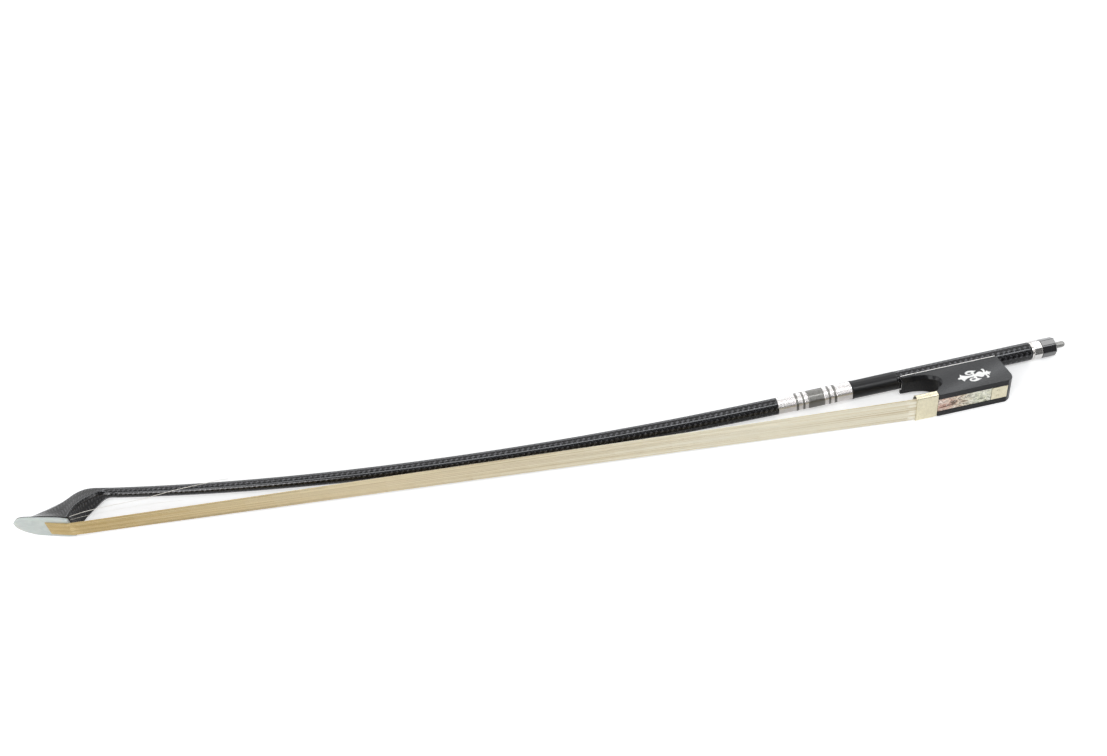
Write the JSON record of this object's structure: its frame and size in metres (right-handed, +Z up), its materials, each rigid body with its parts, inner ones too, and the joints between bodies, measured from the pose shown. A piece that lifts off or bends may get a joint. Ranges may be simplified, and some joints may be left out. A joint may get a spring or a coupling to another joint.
{
  "type": "double bass bow",
  "caption": "Double bass bow of the French pattern: cambered stick with hatchet head, hair ribbon, frog with thumb recess, and screw that slides the frog to tighten the hair.",
  "frame": {"origin": "middle of the bounding box, on the floor that the bow lies on", "axes": "+X from the head to the button, +Y from the hair side to the stick side, +Z up through the upper cheek of the frog"},
  "size_m": [0.7194, 0.0948, 0.0204],
  "materials": {
    "carbon_fibre": "braided carbon under clear gloss lacquer",
    "hardwood": "bare maple and hornbeam",
    "face_plate": "satin off-white",
    "liner": "black vulcanised fibre",
    "horse_hair": "fine unbleached horse hair",
    "winding_silver": "polished silver",
    "winding_dark": "dark waxed thread",
    "leather": "smooth black",
    "ebony": "satin black ebony",
    "nickel_silver": "pale polished nickel silver",
    "steel": "plain turned steel",
    "brass": "plain brass",
    "pearl": "polished mother-of-pearl",
    "inlay": "polished white shell"
  },
  "bodies": {
    "stick": {"stick": "carbon_fibre", "handle_core": "hardwood", "head_plate": "face_plate", "head_liner": "liner", "head_hair_plug": "hardwood", "head_hair_knot": "horse_hair", "hair_ribbon": "horse_hair", "winding": "winding_silver", "winding_band_1": "winding_dark", "winding_band_2": "winding_dark", "winding_band_3": "winding_dark", "winding_band_4": "winding_dark", "winding_band_5": "winding_dark", "thumb_leather": "leather"},
    "frog": {"frog_body": "ebony", "underslide": "nickel_silver", "underslide_pin_1": "steel", "underslide_pin_2": "steel", "eyelet": "brass", "ferrule": "nickel_silver", "spread_wedge": "hardwood", "slide_base": "ebony", "pearl_slide": "pearl", "frog_hair_run": "horse_hair", "frog_hair_plug": "hardwood", "frog_hair_knot": "horse_hair", "heel_plate": "nickel_silver", "heel_plate_pin_1": "steel", "heel_plate_pin_2": "steel", "cheek_inlay_upper": "inlay", "cheek_inlay_lower": "inlay"},
    "screw": {"button_ring": "winding_silver", "button_core": "ebony", "screw": "steel"}
  },
  "joints": [
    {"name": "screw_turn", "type": "hinge", "parent": "stick", "child": "screw", "pos_m": [0.33463, -0.01551, 0.00662], "axis": [-1, 0.0004, 0.0089], "range_deg": [0, 3600]},
    {"name": "frog_slide", "type": "slide", "parent": "stick", "child": "frog", "axis": [1, -0.0004, -0.0089], "range_m": [0, 0.008]}
  ],
  "couplings": [
    {"joint": "screw_turn", "follows": "frog_slide", "rad_per_m": 7854}
  ]
}
